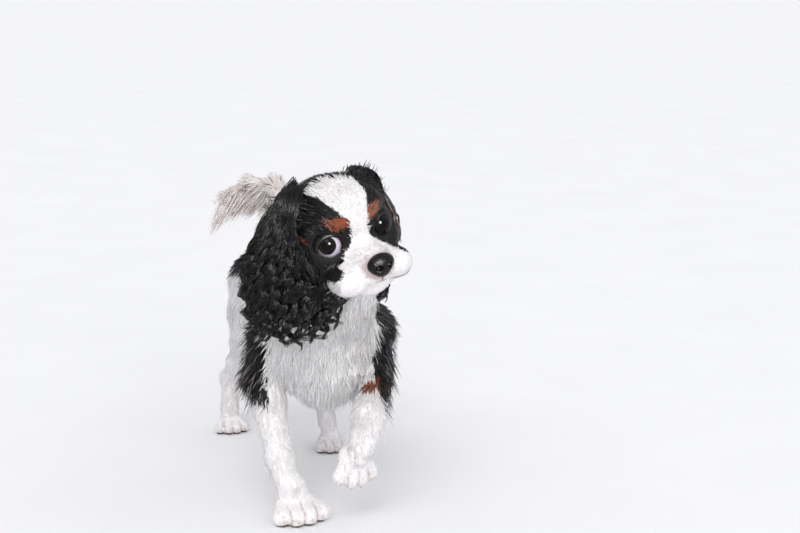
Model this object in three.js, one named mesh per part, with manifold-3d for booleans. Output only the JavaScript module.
import * as THREE from "three";
import { mergeVertices } from "three/addons/utils/BufferGeometryUtils.js";
import Module from "manifold-3d";

// A young tricolour toy spaniel, life size, caught in mid-step with its left forepaw raised.
// Millimetres, +Z up. The dog faces -Y, its own left side is +X, and the floor is z = 0.

const wasm = await Module();
wasm.setup();

const { degToRad, clamp, lerp } = THREE.MathUtils;
const vec = (x, y, z) => new THREE.Vector3(x, y, z);
const UP = vec(0, 0, 1);

// Driving dimensions.
const WITHERS_Z = 250; // top of the shoulders, coat included
const RUMP_Z = 236;
const BRISKET_Z = 103; // underside of the chest
const CHEST_HALF = 59; // half the width of the ribs
const HIP_HALF = 47;
const SKULL_HALF = 50; // half the width of the skull
const MUZZLE_LENGTH = 37; // from the line of the eyes to the nose
const EYE_R = 12;
const EYE_X = 27; // half the distance between the eyes
const EYE_BACK = 3.5;
const TAIL_R = 11;
const GAP = 0.4; // between nodes that touch

// The head frame sits midway between the eyes: x to the dog's left, y to the back, z up.
const HEAD_AT = vec(10, -206, 285);
const HEAD_TURN = degToRad(18.7);
const HEAD_NOD = degToRad(6.9);
const HEAD_TILT = degToRad(-14.9);
const headTurn = new THREE.Euler(HEAD_NOD, HEAD_TILT, HEAD_TURN, "ZXY");
const headMatrix = new THREE.Matrix4().makeRotationFromEuler(headTurn).setPosition(HEAD_AT);
const headPoint = (x, y, z) => vec(x, y, z).applyMatrix4(headMatrix);

// Smooth fields. Each piece gives the distance from a point to its surface, below zero inside.

// A round rod that tapers from radius ra at a to rb at b.
function rod(a, b, ra, rb) {
  const along = b.clone().sub(a);
  const length2 = along.lengthSq();
  return (p) => {
    const t = clamp(p.clone().sub(a).dot(along) / length2, 0, 1);
    return p.distanceTo(a.clone().addScaledVector(along, t)) - lerp(ra, rb, t);
  };
}

// An ellipsoid, turned by an optional quaternion.
function egg(centre, radii, turn = new THREE.Quaternion()) {
  const back = turn.clone().invert();
  return (p) => {
    const q = p.clone().sub(centre).applyQuaternion(back).divide(radii);
    const scaled = q.length();
    return (scaled * (scaled - 1)) / Math.max(q.divide(radii).length(), 1e-6);
  };
}

// Pieces joined with a fillet of about the given size.
function blend(pieces, fillet) {
  return (p) =>
    pieces
      .map((piece) => piece(p))
      .reduce((a, b) => {
        const h = Math.max(fillet - Math.abs(a - b), 0) / fillet;
        return Math.min(a, b) - (h * h * fillet) / 4;
      });
}

// A unit sphere whose seam and poles are closed.
function closedSphere(sides, rings) {
  const ball = new THREE.SphereGeometry(1, sides, rings);
  ball.deleteAttribute("normal");
  ball.deleteAttribute("uv");
  return mergeVertices(ball, 1e-5);
}

// A closed skin drawn over a field: rays leave a curved spine all round it, and fan out
// at both ends over the given share of the rings.
// The rings turn over a window of the spine, so that they do not cross inside a bend.
function wrap(field, spine, { sides, rings, fan = 0.2, reach = 120, grow = 0, up = UP, ease = 0.02 }) {
  const skin = closedSphere(sides, rings);
  const places = skin.attributes.position;
  const turnOf = (share) => (share * Math.PI) / 2;
  for (let i = 0; i < places.count; i++) {
    const p = vec(places.getX(i), places.getY(i), places.getZ(i));
    const polar = Math.acos(clamp(p.y, -1, 1)) / Math.PI;
    const t = clamp((polar - fan) / (1 - 2 * fan), 0, 1);
    const ahead = spine.getPointAt(Math.min(t + ease, 1));
    const tangent = ahead.sub(spine.getPointAt(Math.max(t - ease, 0))).normalize();
    const side = tangent.clone().cross(up).normalize();
    const top = side.clone().cross(tangent);
    const around = Math.atan2(p.z, p.x);
    const ray = side.multiplyScalar(Math.cos(around)).addScaledVector(top, Math.sin(around));
    if (polar < fan) {
      const lean = turnOf(polar / fan);
      ray.multiplyScalar(Math.sin(lean)).addScaledVector(tangent, -Math.cos(lean));
    } else if (polar > 1 - fan) {
      const lean = turnOf((1 - polar) / fan);
      ray.multiplyScalar(Math.sin(lean)).addScaledVector(tangent, Math.cos(lean));
    }
    const from = spine.getPointAt(t);
    const at = reachOf(field, from, ray, reach, grow);
    places.setXYZ(i, ...from.addScaledVector(ray, at));
  }
  return toSolid(skin);
}

// How far a ray runs from inside a field to its surface.
function reachOf(field, from, ray, reach, grow = 0) {
  const value = (r) => field(from.clone().addScaledVector(ray, r)) - grow;
  const STEPS = 24;
  let outer = reach;
  let inner = 0;
  for (let i = 1; i <= STEPS; i++) {
    const r = reach * (1 - i / STEPS);
    if (value(r) < 0) {
      inner = r;
      break;
    }
    outer = r;
  }
  for (let i = 0; i < 16; i++) {
    const middle = (inner + outer) / 2;
    if (value(middle) < 0) inner = middle;
    else outer = middle;
  }
  return Math.max(inner, 0.5);
}

// The way out of a field at a point.
function outward(field, p) {
  const d = 0.5;
  const slope = (x, y, z) =>
    field(p.clone().add(vec(x, y, z))) - field(p.clone().sub(vec(x, y, z)));
  return vec(slope(d, 0, 0), slope(0, d, 0), slope(0, 0, d)).normalize();
}

// A geometry with merged vertices as a solid, turned right side out.
function toSolid(geometry) {
  const index = Array.from(geometry.index.array);
  const positions = new Float32Array(geometry.attributes.position.array);
  const build = (triangles) =>
    new wasm.Manifold(
      new wasm.Mesh({
        numProp: 3,
        vertProperties: positions,
        triVerts: new Uint32Array(triangles),
      }),
    );
  const solid = build(index);
  if (solid.volume() > 0) return solid;
  for (let i = 0; i < index.length; i += 3) {
    [index[i + 1], index[i + 2]] = [index[i + 2], index[i + 1]];
  }
  return build(index);
}

function closed(geometry) {
  const bare = geometry.clone();
  bare.deleteAttribute("normal");
  bare.deleteAttribute("uv");
  return toSolid(mergeVertices(bare, 1e-4));
}

const join = (solids) => solids.reduce((a, b) => a.add(b));

// The largest closed surface of a solid: scraps and sealed hollows go.
function largest(solid) {
  const bodies = solid.decompose();
  return bodies.sort((a, b) => b.volume() - a.volume())[0];
}

function bareGeometry(solid) {
  const mesh = solid.getMesh();
  const geometry = new THREE.BufferGeometry();
  geometry.setAttribute("position", new THREE.BufferAttribute(mesh.vertProperties, 3));
  geometry.setIndex(new THREE.BufferAttribute(mesh.triVerts, 1));
  return geometry;
}

// Whether two sheets of a surface share an edge, once corners a micron apart are merged.
function isPinched(solid) {
  const { triVerts, vertProperties } = solid.getMesh();
  const MICRON = 1e-3;
  const ids = new Map();
  const corner = (v) => {
    const key = [0, 1, 2].map((k) => Math.round(vertProperties[v * 3 + k] / MICRON)).join();
    if (!ids.has(key)) ids.set(key, ids.size);
    return ids.get(key);
  };
  const edges = new Map();
  for (let i = 0; i < triVerts.length; i += 3) {
    const face = [0, 1, 2].map((k) => corner(triVerts[i + k]));
    if (new Set(face).size < 3) continue;
    face.forEach((a, k) => {
      const b = face[(k + 1) % 3];
      const key = `${Math.min(a, b)} ${Math.max(a, b)}`;
      edges.set(key, (edges.get(key) ?? 0) + 1);
    });
  }
  return [...edges.values()].some((count) => count !== 2);
}

// One body without slivers. The first size of sliver that leaves no pinched edge is used.
function tidy(solid) {
  const SLIVERS = [0.03, 0.05, 0.08, 0.02, 0.12, 0.15];
  const bodies = SLIVERS.map((size) => () => largest(solid.simplify(size)));
  for (const body of bodies) {
    const tidied = body();
    if (!isPinched(tidied)) return tidied;
  }
  return largest(solid);
}

function toGeometry(solid, frame) {
  const geometry = bareGeometry(solid);
  geometry.applyMatrix4(frame.clone().invert());
  geometry.computeVertexNormals();
  return geometry;
}

const curve = (...points) => new THREE.CatmullRomCurve3(points, false, "centripetal");

// Trunk: ribs, withers, loin, rump, chest and belly under one coat.
const MID_Z = (WITHERS_Z + BRISKET_Z) / 2;
const trunkField = blend(
  [
    egg(vec(3, -58, MID_Z), vec(CHEST_HALF, 92, WITHERS_Z - MID_Z)),
    rod(vec(3, -78, WITHERS_Z - 34), vec(7, 96, RUMP_Z - 30), 30, 30),
    rod(vec(3, -20, 160), vec(6, 76, 172), 51, 43),
    egg(vec(8, 100, 187), vec(HIP_HALF, 47, 46)),
    egg(vec(3, -112, 165), vec(44, 33, 47)),
    rod(vec(3, -112, BRISKET_Z + 35), vec(3, -20, BRISKET_Z + 36), 33, 36),
  ],
  22,
);
const trunkSpine = curve(vec(3, -96, 168), vec(3, -40, 176), vec(4, 30, 182), vec(7, 96, 188));
const trunkWrap = (grow) =>
  wrap(trunkField, trunkSpine, { sides: 20, rings: 17, fan: 0.22, reach: 130, grow });

// Neck, from between the shoulders to the back of the skull.
const neckSpine = curve(vec(3, -74, 208), vec(3, -108, 236), vec(3, -142, 268), vec(2, -160, 286));
const neckField = blend(
  [
    rod(vec(2, -74, 204), vec(2, -110, 236), 50, 47),
    rod(vec(2, -110, 236), vec(0, -160, 286), 46, 39),
    rod(vec(9, -118, 190), vec(11, -160, 240), 42, 35),
  ],
  16,
);
const neckWrap = (grow) =>
  wrap(neckField, neckSpine, { sides: 14, rings: 8, fan: 0.25, reach: 110, grow });

// Head, in its own frame.
const NOSE_Y = -MUZZLE_LENGTH;
const headField = blend(
  [
    egg(vec(0, 37, 7), vec(SKULL_HALF, 47, 39)),
    egg(vec(0, 15, 17), vec(37, 27, 25)),
    egg(vec(26, 22, -16), vec(27, 31, 30)),
    egg(vec(-26, 22, -16), vec(27, 31, 30)),
    egg(vec(21, 20, -39), vec(27, 30, 24)),
    egg(vec(-21, 20, -39), vec(27, 30, 24)),
    egg(vec(34, 42, 22), vec(18, 19, 17)),
    egg(vec(-34, 42, 24), vec(18, 19, 18)),
    rod(vec(0, 8, -19), vec(0, NOSE_Y + 15, -22), 24, 18),
    egg(vec(23, -15, -30.5), vec(20, 22, 15.5)),
    egg(vec(-23, -15, -30.5), vec(20, 22, 15.5)),
    egg(vec(0, NOSE_Y + 13, -19), vec(15, 12, 12)),
  ],
  9,
);
const jawField = blend(
  [
    rod(vec(0, 30, -34), vec(0, -10, -44), 25.2, 12),
    egg(vec(0, -15, -45), vec(17, 13, 8)),
  ],
  8,
);
const headSpine = curve(vec(0, 44, 4), vec(0, 20, -2), vec(0, -2, -16), vec(0, -16, -21));
const jawSpine = curve(vec(0, 30, -34), vec(0, 8, -39), vec(0, -13, -45));
const inHeadFrame = (solid) => solid.transform(headMatrix.toArray());
const skullWrap = (grow) =>
  wrap(headField, headSpine, { sides: 24, rings: 21, fan: 0.3, reach: 90, grow });
const jawWrap = (grow) =>
  wrap(jawField, jawSpine, { sides: 12, rings: 8, fan: 0.3, reach: 60, grow });

// Eyes, turned outwards, in sockets with lids.
const eyeCentre = (side) => vec(side * EYE_X, EYE_BACK, 0);
const eyeTurn = (side) => new THREE.Euler(0, 0, side * degToRad(14));

function eyeBall(side, grow) {
  const ball = closedSphere(14, 10);
  ball.scale(EYE_R + grow, EYE_R + grow, EYE_R + grow);
  ball.translate(...eyeCentre(side));
  return toSolid(ball);
}

// The lids stand round the eye as a shell, and the opening between them is cut through it.
const LID = { thick: 2.6, halfWide: 11.4, halfHigh: 9.8 };

function lidShell(side, grow) {
  const shell = closedSphere(14, 9);
  const radius = EYE_R + LID.thick + grow;
  shell.scale(radius, radius - 0.6, radius);
  shell.translate(...eyeCentre(side));
  return toSolid(shell);
}

function lidOpening(side) {
  const { halfWide, halfHigh } = LID;
  const outline = new THREE.Shape();
  const inner = halfWide * 0.6;
  outline.moveTo(-halfWide, -1);
  outline.bezierCurveTo(-inner, halfHigh * 1.25, inner, halfHigh * 1.25, halfWide, 0);
  outline.bezierCurveTo(inner, -halfHigh * 1.1, -inner, -halfHigh * 1.1, -halfWide, -1);
  const cut = new THREE.ExtrudeGeometry(outline, {
    depth: EYE_R * 2,
    bevelEnabled: false,
    curveSegments: 6,
  });
  cut.rotateX(Math.PI / 2);
  cut.applyMatrix4(new THREE.Matrix4().makeRotationFromEuler(eyeTurn(side)));
  cut.translate(...eyeCentre(side));
  return closed(cut);
}

// The nose leather, with a nostril on each side.
const noseField = blend(
  [
    egg(vec(0, NOSE_Y + 1, -17), vec(13.4, 8.5, 9.4)),
    egg(vec(0, NOSE_Y + 2, -22.5), vec(8, 7.5, 7)),
  ],
  4,
);
const noseSpine = curve(
  vec(-4, NOSE_Y + 2, -18),
  vec(0, NOSE_Y + 2, -19),
  vec(4, NOSE_Y + 2, -18),
);
const noseWrap = (grow) =>
  wrap(noseField, noseSpine, { sides: 12, rings: 10, fan: 0.3, reach: 26, grow });

function nostril(side) {
  const hole = closedSphere(8, 6);
  hole.scale(2.7, 5.5, 2.3);
  hole.rotateZ(side * degToRad(-26));
  hole.translate(side * 5.8, NOSE_Y - 6.5, -18.4);
  const slit = closedSphere(6, 5);
  slit.scale(3.6, 4, 1.2);
  slit.rotateY(side * degToRad(24));
  slit.translate(side * 8.8, NOSE_Y - 5.2, -20.6);
  return toSolid(hole).add(toSolid(slit));
}

// A thin groove along a path of points.
function groove(points, radius, steps) {
  const section = new THREE.Shape();
  section.absellipse(0, 0, radius, radius, 0, Math.PI * 2);
  const path = curve(...points);
  const depth = { extrudePath: path, steps, curveSegments: 2, bevelEnabled: false };
  return closed(new THREE.ExtrudeGeometry(section, depth));
}

// The line of the mouth runs round the muzzle under the lips, low at the sides and rising
// to the corners. The split of the upper lip runs from it to the nose.
function mouthLine() {
  const face = (p) => Math.min(headField(p), jawField(p));
  const CORNER = 105;
  const points = [];
  for (let angle = -CORNER; angle <= CORNER; angle += 17.5) {
    const a = degToRad(angle);
    const low = Math.sin(Math.min(Math.abs(a) * 1.7, Math.PI));
    const from = vec(0, -4, -35 - 5 * low + 4 * (Math.abs(angle) / CORNER) ** 3);
    const ray = vec(Math.sin(a), -Math.cos(a), 0);
    points.push(from.clone().addScaledVector(ray, reachOf(face, from, ray, 60) - 0.2));
  }
  return points;
}

// A lock of hair: a flat tapered strand of four sides along path(t), for t from 0 at the
// root to 1 at the tip. It lies across the way given by out.
function lock(path, out, width, thick, grow, rings = 6) {
  const strand = closedSphere(4, rings);
  const places = strand.attributes.position;
  for (let i = 0; i < places.count; i++) {
    const p = vec(places.getX(i), places.getY(i), places.getZ(i));
    const t = clamp((1 - p.y) / 2, 0, 1);
    const round = Math.hypot(p.x, p.z);
    const tangent = path(Math.min(t + 0.06, 1)).sub(path(Math.max(t - 0.06, 0))).normalize();
    const wide = tangent.clone().cross(out).normalize();
    const face = wide.clone().cross(tangent);
    const taper = round * (1 - 0.6 * t);
    const cos = round > 1e-6 ? p.x / round : 0;
    const sin = round > 1e-6 ? p.z / round : 0;
    const end = round > 1e-6 ? 0 : -Math.sign(p.y) * grow;
    const at = path(t)
      .addScaledVector(wide, cos * (width * taper + grow))
      .addScaledVector(face, sin * (thick * taper + grow))
      .addScaledVector(tangent, end);
    places.setXYZ(i, ...at);
  }
  return toSolid(strand);
}

// Repeatable numbers from 0 to 1.
function makeDraw(seed) {
  let state = seed;
  return () => {
    state = (Math.imul(state, 1664525) + 1013904223) >>> 0;
    return state / 4294967296;
  };
}

// A lock that leaves a field where a ray from inside meets its surface. It follows the lie
// of the coat, stands clear of the skin by the lift, and sags at the tip.
const ROOT_DEPTH = 7;
function coatLock(field, from, ray, lie, { length, width = 8, thick = 3.2, lift = 5, sag = 0 }) {
  const way = ray.clone().normalize();
  const foot = from.clone().addScaledVector(way, reachOf(field, from, way, 130));
  const out = outward(field, foot);
  const flow = lie.clone().addScaledVector(out, -lie.dot(out)).normalize();
  const path = (t) =>
    foot
      .clone()
      .addScaledVector(flow, length * t)
      .addScaledVector(out, lerp(-ROOT_DEPTH, lift, Math.sin((t * Math.PI) / 2)))
      .addScaledVector(UP, -sag * t * t);
  return (grow) => lock(path, out, width, thick, grow);
}

const withLocks = (solid, locks, grow) => join([solid, ...locks.map((make) => make(grow))]);

// Chest and belly: rows of locks down the front of the chest, then a fringe under it.
function trunkLocks() {
  const draw = makeDraw(7);
  const jitter = (size) => (draw() - 0.5) * size;
  const locks = [];
  const chest = vec(4, -92, 166);
  for (const [row, lean] of [34, 2, -32].entries()) {
    const count = 4 + (row % 2);
    for (let k = 0; k < count; k++) {
      const a = degToRad(((k + 0.5) / count - 0.5) * 130 + jitter(10));
      const e = degToRad(lean + jitter(8));
      const ray = vec(Math.sin(a) * Math.cos(e), -Math.cos(a) * Math.cos(e), Math.sin(e));
      const length = 33 - 6 * row + 6 * draw();
      const lie = vec(jitter(0.5), 0.15 + 0.4 * row, -1);
      locks.push(coatLock(trunkField, chest, ray, lie, { length, width: 11, sag: 3 }));
    }
  }
  for (let k = 0; k < 5; k++) {
    const from = vec(4, -92 + 28 * k, 160);
    const ray = vec((k % 2 ? 0.38 : -0.38) + jitter(0.2), 0, -1);
    const lie = vec(jitter(0.4), 0.9, -0.6);
    const length = 28 + 6 * draw();
    locks.push(coatLock(trunkField, from, ray, lie, { length, width: 10, lift: 2, sag: 2 }));
  }
  for (let k = 0; k < 4; k++) {
    const side = k % 2 ? 1 : -1;
    const from = vec(5, 14 + 24 * Math.floor(k / 2), 172);
    const ray = vec(side, 0, -0.75 + jitter(0.2));
    const lie = vec(0, 0.8, -0.7);
    const length = 26 + 6 * draw();
    locks.push(coatLock(trunkField, from, ray, lie, { length, width: 12, lift: 2 }));
  }
  return locks;
}

// The ruff round the front and sides of the neck.
function neckLocks() {
  const draw = makeDraw(19);
  const jitter = (size) => (draw() - 0.5) * size;
  const locks = [];
  const COUNT = 7;
  for (let k = 0; k < COUNT; k++) {
    const row = k % 2;
    const a = degToRad(((k + 0.5) / COUNT - 0.5) * 210);
    const from = vec(4, -122 - 12 * row, 236 + 16 * row);
    const ray = vec(Math.sin(a), -Math.cos(a), -0.35 + jitter(0.2));
    const lie = vec(jitter(0.4), 0.25, -1);
    const length = 34 + 8 * draw();
    locks.push(coatLock(neckField, from, ray, lie, { length, width: 12, sag: 3 }));
  }
  return locks;
}

// Tufts at the roots of the ears, the fringe under the cheeks, in the head frame.
function headLocks() {
  const locks = [];
  for (const side of [-1, 1]) {
    const root = { length: 23, width: 8, thick: 2.6, lift: 4 };
    const back = vec(side * 0.9, 1, -0.6);
    locks.push(coatLock(headField, vec(side * 24, 40, 18), vec(side * 0.9, 0.6, 0.7), back, root));
    for (let k = 0; k < 3; k++) {
      const ray = vec(side * (1 - 0.3 * k), -0.3 + 0.25 * k, -0.7);
      const lie = vec(side * 0.1, 0.75, -0.8);
      const shape = { length: 19, width: 8.5, thick: 2.8, lift: 2 };
      locks.push(coatLock(headField, vec(side * 16, 24, -26), ray, lie, shape));
    }
  }
  return locks;
}

// Legs. Each gives its joints from the trunk down, as points with radii, coat included.
const LEGS = {
  foreleg_right: {
    joints: [
      [vec(-40, -98, 168), 30],
      [vec(-50, -80, 124), 22],
      [vec(-49, -92, 102), 18],
      [vec(-44, -120, 56), 15],
      [vec(-40, -134, 32), 14.5],
    ],
    paw: vec(-33, -142, 11.4),
    pawSize: 1,
    pawTurn: new THREE.Euler(0, 0, degToRad(6)),
  },
  foreleg_left: {
    joints: [
      [vec(46, -100, 172), 30],
      [vec(54, -88, 134), 22],
      [vec(48, -118, 120), 18],
      [vec(31, -168, 102), 16],
      [vec(26, -172, 84), 16],
    ],
    paw: vec(19, -163, 58),
    pawSize: 0.84,
    pawTurn: new THREE.Euler(degToRad(72), degToRad(14), degToRad(4)),
  },
  hindleg_right: {
    joints: [
      [vec(-22, 104, 184), 31],
      [vec(-26, 94, 152), 29],
      [vec(-33, 88, 124), 21],
      [vec(-40, 128, 86), 14],
      [vec(-44, 160, 60), 12.5],
      [vec(-46, 158, 32), 12.5],
    ],
    paw: vec(-47, 150, 8),
    pawSize: 0.72,
    pawTurn: new THREE.Euler(0, 0, 0),
  },
  hindleg_left: {
    joints: [
      [vec(38, 96, 184), 31],
      [vec(45, 80, 152), 29],
      [vec(46, 54, 124), 22],
      [vec(46, 76, 88), 14.5],
      [vec(46, 84, 60), 12.5],
      [vec(46, 68, 32), 12.5],
    ],
    paw: vec(47, 53, 8),
    pawSize: 0.72,
    pawTurn: new THREE.Euler(0, 0, 0),
  },
};

function legField({ joints }) {
  const pieces = joints.slice(1).map(([at, r], i) => rod(joints[i][0], at, joints[i][1], r));
  return blend(pieces, 10);
}

function legWrap(leg, grow) {
  const spine = curve(...leg.joints.map(([at]) => at));
  const spread = { sides: 12, rings: 15, fan: 0.14, reach: 60, ease: 0.2 };
  return wrap(legField(leg), spine, { ...spread, grow, up: vec(0, -1, 0) });
}

// Feathering: wisps at the outside of the shoulder, then a fringe down the back of the leg.
function legLocks(name, leg) {
  const fore = name.startsWith("fore");
  const side = name.endsWith("left") ? 1 : -1;
  const draw = makeDraw(name.length * 31 + side);
  const field = legField(leg);
  const at = (k) => leg.joints[k][0];
  const between = (a, b, share) => at(a).clone().lerp(at(b), share);
  const locks = [];
  const put = (from, ray, lie, shape) => locks.push(coatLock(field, from, ray, lie, shape));
  for (let k = 0; fore && k < 4; k++) {
    const from = between(0, 1, 0.15 + 0.25 * k);
    const length = 24 + 6 * draw();
    put(from, vec(side, 0.5 - 0.25 * k, 0), vec(side * 0.3, 0.3, -1), { length, lift: 6 });
  }
  const raised = name === "foreleg_left";
  const COUNT = 5;
  for (let k = 0; k < COUNT; k++) {
    const share = k / COUNT;
    const from = fore ? between(1, 3, share) : between(0, 2, share * 1.1);
    const back = raised ? vec(-0.3, 0.3, -1) : vec(side * (0.3 - 0.1 * (k % 3)), 1, 0);
    const lie = raised ? vec(-0.1, 0.5, -0.6) : vec(0, 0.5, -1);
    const length = (raised ? 30 : 27) - 10 * share + 5 * draw();
    put(from, back, lie, { length, width: 9, lift: raised ? 15 - 8 * share : 6, sag: 3 });
  }
  return locks;
}

// Paws: four toes and a heel.
const PAW = { toe: 10, toeOut: 12.8, reach: 18, heel: 14 };

function pawFrame({ paw, pawTurn, pawSize }) {
  const scale = vec(pawSize, pawSize, pawSize);
  return new THREE.Matrix4().compose(paw, new THREE.Quaternion().setFromEuler(pawTurn), scale);
}

const TOES = [-1.5, -0.5, 0.5, 1.5];
const toeFront = (slot) => -PAW.reach + (Math.abs(slot) < 1 ? 0 : 6);

function pawWrap(leg, grow) {
  const toes = TOES.map((slot) => {
    const x = slot * PAW.toeOut;
    return rod(vec(x * 0.55, 2, 3), vec(x, toeFront(slot), -3), 10, PAW.toe);
  });
  const heel = egg(vec(0, 6, 0), vec(20, 19, PAW.heel));
  const ankle = rod(vec(0, 6, 4), vec(0, 8, 13), 15, 14);
  const field = blend([heel, ankle, ...toes], 3);
  const spine = curve(vec(0, 8, 2), vec(0, -2, 1), vec(0, -8, 0));
  const skin = wrap(field, spine, { sides: 16, rings: 11, fan: 0.36, reach: 50, grow });
  return skin.transform(pawFrame(leg).toArray());
}

// Claws, one at the end of each toe.
function claws(leg, grow) {
  const spikes = TOES.map((slot) => {
    const claw = new THREE.ConeGeometry(2 + grow, 8, 5);
    claw.rotateX(degToRad(-115));
    claw.translate(slot * PAW.toeOut, toeFront(slot) - PAW.toe - 0.6, -5.4);
    return closed(claw);
  });
  return join(spikes).transform(pawFrame(leg).toArray());
}

// Tail: a core carried high and to the dog's right, and a plume that hangs from it.
const tailSpine = curve(
  vec(8, 130, 212),
  vec(18, 164, 238),
  vec(28, 196, 260),
  vec(16, 224, 270),
  vec(-8, 244, 267),
  vec(-30, 253, 256),
);
function tailField() {
  const SHARES = [0, 0.2, 0.4, 0.6, 0.8, 1];
  const radii = [1.45, 1.3, 1.1, 1, 0.85, 0.6].map((share) => share * TAIL_R);
  const marks = SHARES.map((t) => tailSpine.getPointAt(t));
  return blend(
    marks.slice(1).map((at, i) => rod(marks[i], at, radii[i], radii[i + 1])),
    8,
  );
}
const tailWrap = (grow) =>
  wrap(tailField(), tailSpine, { sides: 10, rings: 12, fan: 0.16, reach: 40, ease: 0.08, grow });

function tailLocks() {
  const draw = makeDraw(5);
  const COUNT = 15;
  const locks = [];
  for (let k = 0; k < COUNT; k++) {
    const t = 0.22 + (0.78 * k) / (COUNT - 1);
    const foot = tailSpine.getPointAt(t);
    const along = tailSpine.getTangentAt(t);
    const length = (47 + 8 * draw()) * (0.75 + 0.25 * Math.sin(t * Math.PI));
    const spread = (draw() - 0.5) * 0.5;
    const way = along.clone().multiplyScalar(0.55).addScaledVector(UP, -0.95);
    way.add(vec(spread, spread, 0)).normalize();
    const out = along.clone().cross(UP).normalize();
    const curl = 5 * draw() - 2;
    const path = (u) =>
      foot
        .clone()
        .addScaledVector(way, length * u)
        .addScaledVector(along, curl * u * u)
        .addScaledVector(out, 2 * Math.sin(u * 3 + k));
    locks.push((grow) => lock(path, out, 9, 3.6, grow));
  }
  return locks;
}

// Ears. middle runs from the root on the skull down to the tips of the hair, across is the
// way over the ear's width, and half is its half width on the way down.
const EARS = {
  ear_right: {
    middle: [
      headPoint(-20, 42, 40),
      vec(-34, -174, 325),
      vec(-45.5, -186.5, 311),
      vec(-54.5, -192.5, 291),
      vec(-56, -194, 269),
      vec(-54, -190.5, 245),
      vec(-48, -185, 221),
      vec(-42, -179.5, 197),
      vec(-37, -175, 174),
    ],
    across: vec(-0.94, 0.34, 0),
    half: [9, 9, 14, 24, 33.5, 39.5, 42, 40, 32],
    leather: 0.72,
  },
  ear_left: {
    middle: [
      headPoint(32, 40, 38),
      headPoint(46, 46, 26),
      vec(58, -144, 288),
      vec(59, -136, 264),
      vec(57, -130, 238),
      vec(54, -126, 216),
      vec(52, -124, 198),
    ],
    across: vec(-0.12, -0.99, 0),
    half: [9, 13, 22, 28, 32, 32, 22],
    leather: 0.66,
  },
};

// A point on an ear: s runs from edge to edge, t down its length, and lift stands off it.
function onEar({ middle, across, half }, s, t, lift) {
  const spine = curve(...middle);
  const k = clamp(t, 0, 1) * (half.length - 1);
  const low = Math.min(Math.floor(k), half.length - 2);
  const width = lerp(half[low], half[low + 1], k - low);
  const tangent = spine.getTangentAt(clamp(t, 0, 1));
  const wide = across.clone().addScaledVector(tangent, -across.dot(tangent)).normalize();
  const out = wide.clone().cross(tangent).normalize();
  const CUP = 0.24;
  return {
    at: spine
      .getPointAt(clamp(t, 0, 1))
      .addScaledVector(wide, s * width)
      .addScaledVector(out, lift - CUP * width * s * s),
    wide,
    tangent,
    out,
  };
}

// The leather of the ear: a thin cupped plate that ends before the hair does.
function earLeather(ear, grow) {
  const THICK = 5;
  const skin = closedSphere(14, 13);
  const places = skin.attributes.position;
  for (let i = 0; i < places.count; i++) {
    const p = vec(places.getX(i), places.getY(i), places.getZ(i));
    const t = clamp((1 - p.y) / 2, 0, 1) * ear.leather;
    const round = Math.hypot(p.x, p.z);
    const blunt = Math.min(1, round * 1.5);
    const around = Math.atan2(p.z, p.x);
    const s = Math.cos(around) * blunt * 0.94;
    const { at, wide, tangent, out } = onEar(ear, s, t, 0);
    at.addScaledVector(out, Math.sin(around) * (THICK * Math.min(1, round * 2) + grow));
    at.addScaledVector(wide, Math.cos(around) * grow);
    at.addScaledVector(tangent, -Math.sign(p.y) * grow * (round < 1e-6 ? 1 : 0));
    places.setXYZ(i, ...at);
  }
  return toSolid(skin);
}

// Wavy locks that start on the leather and hang past its end, with curled tips.
function earLocks(name, ear) {
  const draw = makeDraw(name.length * 17 + 3);
  const COUNT = name === "ear_right" ? 16 : 8;
  const locks = [];
  for (let k = 0; k < COUNT; k++) {
    const across = ((k * 7) % COUNT) / (COUNT - 1);
    const s0 = (across * 2 - 1) * 0.84;
    const t0 = 0.26 + 0.3 * draw();
    const t1 = 1 - 0.13 * s0 * s0 - 0.04 * draw();
    const layer = k % 2 ? 4 : -2;
    const swing = 0.07 + 0.06 * draw();
    const phase = draw() * 6;
    const curl = (draw() - 0.5) * 0.3;
    const path = (u) => {
      const wave = swing * Math.sin(u * 8 + phase) * u;
      const s = s0 * (1 + 0.16 * u) + wave + curl * u ** 3;
      return onEar(ear, s, lerp(t0, t1, u), layer * Math.sin(Math.min(u * 3, 1.57))).at;
    };
    const { out } = onEar(ear, s0, lerp(t0, t1, 0.5), 0);
    locks.push((grow) => lock(path, out, 11, 4.4, grow));
  }
  return locks;
}

// Nodes, in the order in which each is cut clear of those before it.
function floorBlock() {
  const SIZE = 900;
  const block = new THREE.BoxGeometry(SIZE, SIZE, 100);
  block.translate(0, 0, -50);
  return closed(block);
}

const eye = (side) => (grow) => inHeadFrame(eyeBall(side, grow));

function headSolid(grow) {
  const bare = join([skullWrap(grow), jawWrap(grow), lidShell(1, grow), lidShell(-1, grow)]);
  const head = withLocks(bare, headLocks(), grow);
  if (grow > 0) return inHeadFrame(head);
  const split = [vec(0, NOSE_Y, -27), vec(0, NOSE_Y + 2, -32), vec(0, NOSE_Y + 4, -37)];
  const cuts = [lidOpening(1), lidOpening(-1), groove(mouthLine(), 0.8, 18), groove(split, 0.7, 3)];
  return inHeadFrame(cuts.reduce((solid, cut) => solid.subtract(cut), head));
}

function noseSolid(grow) {
  const nose = noseWrap(grow);
  const cut = grow === 0 ? nose.subtract(nostril(1)).subtract(nostril(-1)) : nose;
  return inHeadFrame(cut);
}

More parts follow.
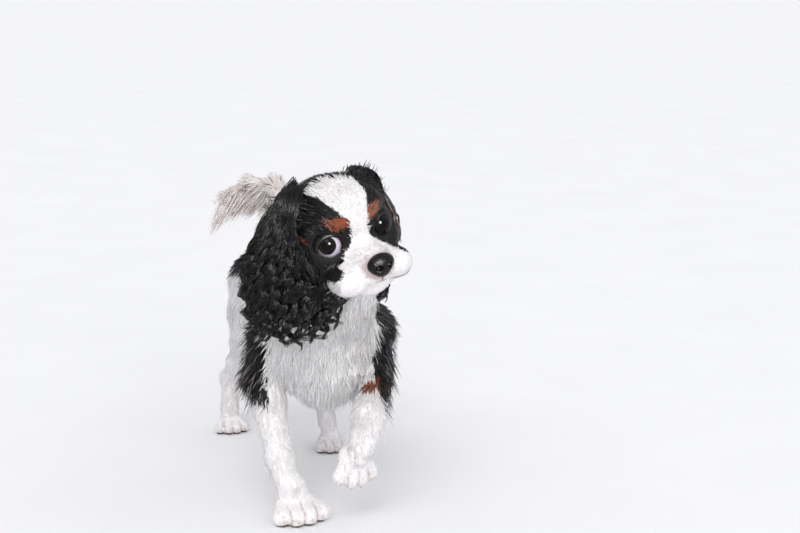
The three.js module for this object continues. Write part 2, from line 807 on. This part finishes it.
const forms = [
  ["eye_left", eye(1), "eye"],
  ["eye_right", eye(-1), "eye"],
  ["nose", noseSolid, "nose"],
  ["head", headSolid, "black"],
  ["torso", (grow) => withLocks(trunkWrap(grow), trunkLocks(), grow), "white"],
  ["neck", (grow) => withLocks(neckWrap(grow), neckLocks(), grow), "white"],
  ...Object.entries(LEGS).flatMap(([name, leg]) => [
    [name.replace("leg", "paw"), (grow) => join([pawWrap(leg, grow), claws(leg, grow)]), "white"],
    [name, (grow) => withLocks(legWrap(leg, grow), legLocks(name, leg), grow), "white"],
  ]),
  ["tail", (grow) => withLocks(tailWrap(grow), tailLocks(), grow), "cream"],
  ...Object.entries(EARS).map(([name, ear]) => [
    name,
    (grow) => withLocks(earLeather(ear, grow), earLocks(name, ear), grow),
    "black",
  ]),
];

const FINISHES = {
  white: { color: 0xf2eef0, roughness: 0.85, metalness: 0 },
  black: { color: 0x15120f, roughness: 0.6, metalness: 0 },
  cream: { color: 0xd8cfca, roughness: 0.85, metalness: 0 },
  nose: { color: 0x0d0c0d, roughness: 0.35, metalness: 0 },
  eye: { color: 0x0a0808, roughness: 0.08, metalness: 0 },
};

const dog = new THREE.Group();
const headGroup = new THREE.Group();
headGroup.applyMatrix4(headMatrix);
dog.add(headGroup);
const inHeadGroup = new Set(["eye_left", "eye_right", "nose", "head"]);

const floor = floorBlock();
const standing = [];
for (const [name, make, finish] of forms) {
  let solid = make(0);
  const bounds = solid.boundingBox();
  for (const earlier of standing) {
    const { min, max } = earlier.boundingBox();
    const near = [0, 1, 2].every((k) => min[k] < bounds.max[k] && max[k] > bounds.min[k]);
    if (near) solid = solid.subtract(earlier);
  }
  solid = tidy(solid.subtract(floor));
  standing.push(make(GAP));
  const group = inHeadGroup.has(name) ? headGroup : dog;
  const frame = group === headGroup ? headMatrix : new THREE.Matrix4();
  const geometry = toGeometry(solid, frame);
  const mesh = new THREE.Mesh(geometry, new THREE.MeshStandardMaterial(FINISHES[finish]));
  mesh.name = name;
  group.add(mesh);
}

// The origin is under the middle of the whole model, on the floor.
const size = new THREE.Box3().setFromObject(dog, true);
dog.position.set(-(size.min.x + size.max.x) / 2, -(size.min.y + size.max.y) / 2, -size.min.z);

export default dog;
